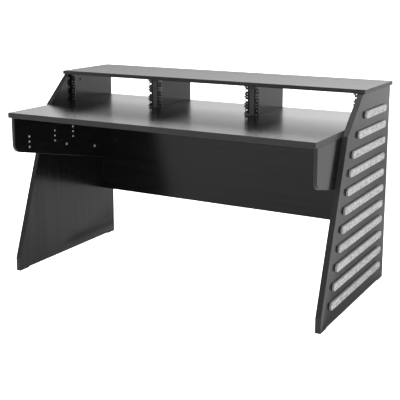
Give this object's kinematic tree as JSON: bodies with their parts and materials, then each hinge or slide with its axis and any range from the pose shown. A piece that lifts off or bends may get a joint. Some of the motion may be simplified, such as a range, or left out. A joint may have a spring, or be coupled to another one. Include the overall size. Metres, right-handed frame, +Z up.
{
  "type": "studio desk",
  "caption": "Black studio desk with kinked side panels, felt strips on their outer faces, a deep worktop and a raised shelf over rack bays.",
  "frame": {"origin": "on the floor, under the middle of the desk's length and depth", "axes": "+Z up, +X along the desk's length to the sitter's right, +Y from the sitter towards the rear"},
  "size_m": [1.5924, 0.841, 0.934],
  "materials": {
    "board": "satin black melamine",
    "rail": "black powder coat",
    "felt": "light grey speckled felt",
    "bolt": "nickel plated",
    "cam": "matt black"
  },
  "bodies": {
    "root": {"worktop": "board", "top_shelf": "board", "modesty_panel": "board", "side_panel_left": "board", "side_panel_right": "board", "support_arm_left": "board", "support_arm_right": "board", "rack_divider_1": "board", "rack_divider_2": "board", "rack_rail_bay1_left": "rail", "rack_rail_bay1_right": "rail", "rack_rail_bay2_left": "rail", "rack_rail_bay2_right": "rail", "rack_rail_bay3_left": "rail", "rack_rail_bay3_right": "rail", "arm_bolt_left_front": "bolt", "arm_bolt_left_rear": "bolt", "arm_bolt_right_front": "bolt", "arm_bolt_right_rear": "bolt", "cam_lock_left": "cam", "cam_lock_right": "cam", "felt_strip_left_01": "felt", "felt_strip_left_02": "felt", "felt_strip_left_03": "felt", "felt_strip_left_04": "felt", "felt_strip_left_05": "felt", "felt_strip_left_06": "felt", "felt_strip_left_07": "felt", "felt_strip_left_08": "felt", "felt_strip_left_09": "felt", "felt_strip_left_10": "felt", "felt_strip_left_11": "felt", "felt_strip_right_01": "felt", "felt_strip_right_02": "felt", "felt_strip_right_03": "felt", "felt_strip_right_04": "felt", "felt_strip_right_05": "felt", "felt_strip_right_06": "felt", "felt_strip_right_07": "felt", "felt_strip_right_08": "felt", "felt_strip_right_09": "felt", "felt_strip_right_10": "felt", "felt_strip_right_11": "felt"}
  },
  "joints": []
}
